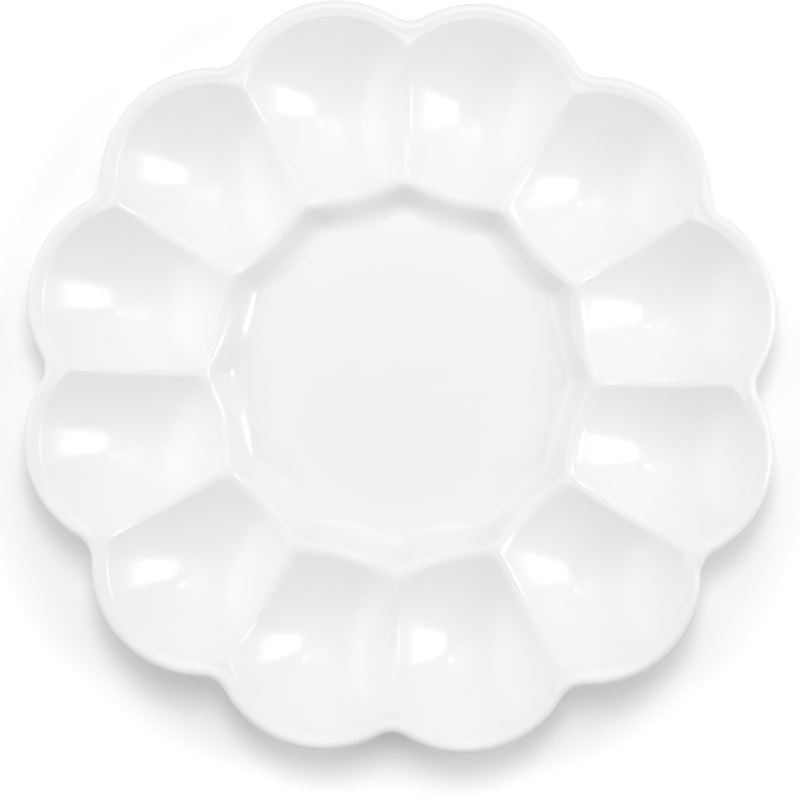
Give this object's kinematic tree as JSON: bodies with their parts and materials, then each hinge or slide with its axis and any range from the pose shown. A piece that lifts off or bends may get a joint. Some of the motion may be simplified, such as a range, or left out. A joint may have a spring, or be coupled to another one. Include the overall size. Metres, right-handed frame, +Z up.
{
  "type": "deviled egg platter",
  "caption": "Round platter with a scalloped rim, a ring of egg-shaped cups and a lobed centre dish, in white glazed porcelain, on a foot ring.",
  "frame": {"origin": "middle of the platter, on the table under its foot ring", "axes": "+Z up; +X along the wall between the last cup and the first; the cups stand at 15, 45, 75 degrees and so on from +X, counted anticlockwise from above"},
  "size_m": [0.3026, 0.3026, 0.03],
  "materials": {
    "glazed_porcelain": "clear glossy glaze over white porcelain",
    "bare_porcelain": "unglazed, fired and smoothed, matte"
  },
  "bodies": {
    "root": {"egg_cup_01": "glazed_porcelain", "egg_cup_02": "glazed_porcelain", "egg_cup_03": "glazed_porcelain", "egg_cup_04": "glazed_porcelain", "egg_cup_05": "glazed_porcelain", "egg_cup_06": "glazed_porcelain", "egg_cup_07": "glazed_porcelain", "egg_cup_08": "glazed_porcelain", "egg_cup_09": "glazed_porcelain", "egg_cup_10": "glazed_porcelain", "egg_cup_11": "glazed_porcelain", "egg_cup_12": "glazed_porcelain", "centre_dish": "glazed_porcelain", "foot_ring": "bare_porcelain"}
  },
  "joints": []
}
